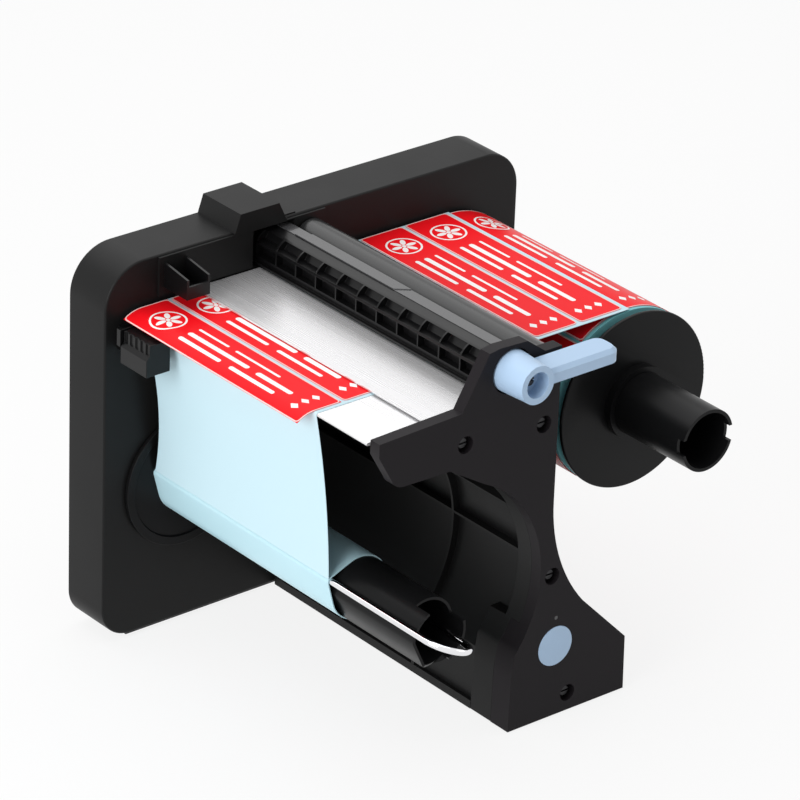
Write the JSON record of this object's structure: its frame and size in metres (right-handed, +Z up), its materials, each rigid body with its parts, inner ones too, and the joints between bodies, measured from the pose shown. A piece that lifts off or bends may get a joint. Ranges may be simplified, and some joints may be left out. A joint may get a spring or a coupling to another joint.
{
  "type": "label dispenser machine",
  "caption": "Bench-top label dispenser: upright motor housing, arched front, label web over a peel edge, lever-lifted pressure bar, supply roll and take-up reel.",
  "frame": {"origin": "on the bench, under the middle of the whole machine's bounding box", "axes": "+X along the housing from the peel edge to the supply roll, +Y back through the housing away from the user, +Z up"},
  "size_m": [0.29, 0.2816, 0.2405],
  "materials": {
    "case_black": "fine satin grain",
    "cover_black": "satin",
    "strip_black": "glossy",
    "roller_dark": "dark anodised, polished",
    "sheet_steel": "brushed",
    "shaft_steel": "turned",
    "wire_chrome": "polished",
    "screw_black": "black oxide",
    "control_blue": "satin",
    "liner_blue": "smooth, slightly glossy",
    "label_red": "smooth print",
    "core_card": "plain",
    "roller_rubber": "matte",
    "foot_rubber": "matte",
    "belt_rubber": "matte",
    "bush_brass": "turned",
    "motor_grey": "satin",
    "pulley_metal": "turned",
    "board_green": "solder mask",
    "switch_black": "glossy",
    "lamp_clear": "clear",
    "eye_dark": "dark window"
  },
  "bodies": {
    "base": {"housing_shell": "case_black", "rear_cover": "case_black", "rear_cover_screws": "screw_black", "housing_foot": "foot_rubber", "front_foot_pads": "foot_rubber", "mechanism_frame": "case_black", "side_plate": "case_black", "front_cover": "cover_black", "front_cover_screws": "screw_black", "peel_plate": "sheet_steel", "cover_plate": "sheet_steel", "edge_guide": "case_black", "sensor_block": "case_black", "sensor_bracket": "case_black", "sensor_eye": "eye_dark", "web_top": "liner_blue", "liner_drop": "liner_blue", "web_labels": "label_red", "leading_label": "label_red", "guide_axle": "shaft_steel", "bar_hinge_pin": "shaft_steel", "bar_springs": "shaft_steel", "supply_axle": "shaft_steel", "supply_axle_nut": "shaft_steel", "supply_axle_clip": "shaft_steel", "motor_body": "motor_grey", "motor_screws": "screw_black", "drive_belt": "belt_rubber", "take_up_belt": "belt_rubber", "shaft_bushes": "bush_brass", "control_board": "board_green", "power_inlet": "switch_black", "switch_frame": "switch_black", "button_switch": "switch_black", "indicator_light": "lamp_clear"},
    "supply_reel": {"supply_hub": "case_black", "roll_core": "core_card", "label_roll": "liner_blue", "roll_labels": "label_red"},
    "supply_disc": {"supply_flange": "case_black"},
    "drive": {"drive_roller": "roller_rubber", "drive_shaft": "shaft_steel", "drive_pulley": "pulley_metal"},
    "take_up_reel": {"take_up_flange": "case_black", "take_up_drum": "case_black", "take_up_shaft": "shaft_steel", "take_up_pulley": "pulley_metal", "waste_liner_roll": "liner_blue"},
    "waste_clip": {"wire_clip": "wire_chrome"},
    "motor_rotor": {"motor_pulley": "pulley_metal"},
    "guide": {"guide_roller": "roller_dark"},
    "bar": {"pressure_bar": "case_black", "bar_strip": "strip_black"},
    "pinch": {"pinch_roller": "roller_rubber"},
    "lift_lever": {"lever": "control_blue", "lever_screw": "screw_black", "lever_shaft": "shaft_steel"},
    "button": {"feed_button": "control_blue"},
    "rocker": {"switch_rocker": "switch_black"}
  },
  "joints": [
    {"name": "supply_spin", "type": "hinge", "parent": "base", "child": "supply_reel", "pos_m": [0.0925, 0.1088, 0.1512], "axis": [0, 1, 0], "continuous": true},
    {"name": "drive_spin", "type": "hinge", "parent": "base", "child": "drive", "pos_m": [-0.0293, 0.1088, 0.1927], "axis": [0, 1, 0], "continuous": true},
    {"name": "take_up_spin", "type": "hinge", "parent": "base", "child": "take_up_reel", "pos_m": [-0.0908, 0.1088, 0.0902], "axis": [0, 1, 0], "continuous": true},
    {"name": "motor_spin", "type": "hinge", "parent": "base", "child": "motor_rotor", "pos_m": [-0.035, 0.1088, 0.123], "axis": [0, 1, 0], "continuous": true},
    {"name": "guide_spin", "type": "hinge", "parent": "base", "child": "guide", "pos_m": [-0.0074, 0.1088, 0.21485], "axis": [0, 1, 0], "continuous": true},
    {"name": "bar_lift", "type": "hinge", "parent": "base", "child": "bar", "pos_m": [-0.0225, 0.1088, 0.221], "axis": [0, 1, 0], "range_deg": [0, 15], "stiffness_Nm_per_rad": 0.05, "springref_deg": -11.46},
    {"name": "pinch_spin", "type": "hinge", "parent": "bar", "child": "pinch", "pos_m": [-0.0293, 0.1088, 0.20865], "axis": [0, 1, 0], "continuous": true},
    {"name": "lever_turn", "type": "hinge", "parent": "base", "child": "lift_lever", "pos_m": [-0.0332, 0.1088, 0.2214], "axis": [0, -1, 0], "range_deg": [0, 90]},
    {"name": "disc_slide", "type": "slide", "parent": "supply_reel", "child": "supply_disc", "axis": [0, -1, 0], "range_m": [0, 0.06]},
    {"name": "clip_slide", "type": "slide", "parent": "take_up_reel", "child": "waste_clip", "axis": [0, -1, 0], "range_m": [0, 0.2]},
    {"name": "button_press", "type": "slide", "parent": "base", "child": "button", "axis": [0, 1, 0], "range_m": [0, 0.0015], "stiffness_N_per_m": 250, "springref_m": -0.002},
    {"name": "rocker_tilt", "type": "hinge", "parent": "base", "child": "rocker", "pos_m": [-0.083, 0.1368, 0.03], "axis": [0, 0, 1], "range_deg": [0, 12]}
  ],
  "couplings": [
    {"joint": "drive_spin", "follows": "supply_spin", "ratio": 5.115},
    {"joint": "take_up_spin", "follows": "supply_spin", "ratio": 2.7353},
    {"joint": "motor_spin", "follows": "supply_spin", "ratio": 7.0331},
    {"joint": "guide_spin", "follows": "supply_spin", "ratio": -4.65},
    {"joint": "pinch_spin", "follows": "supply_spin", "ratio": -10.656},
    {"joint": "lever_turn", "follows": "bar_lift", "ratio": 6}
  ]
}
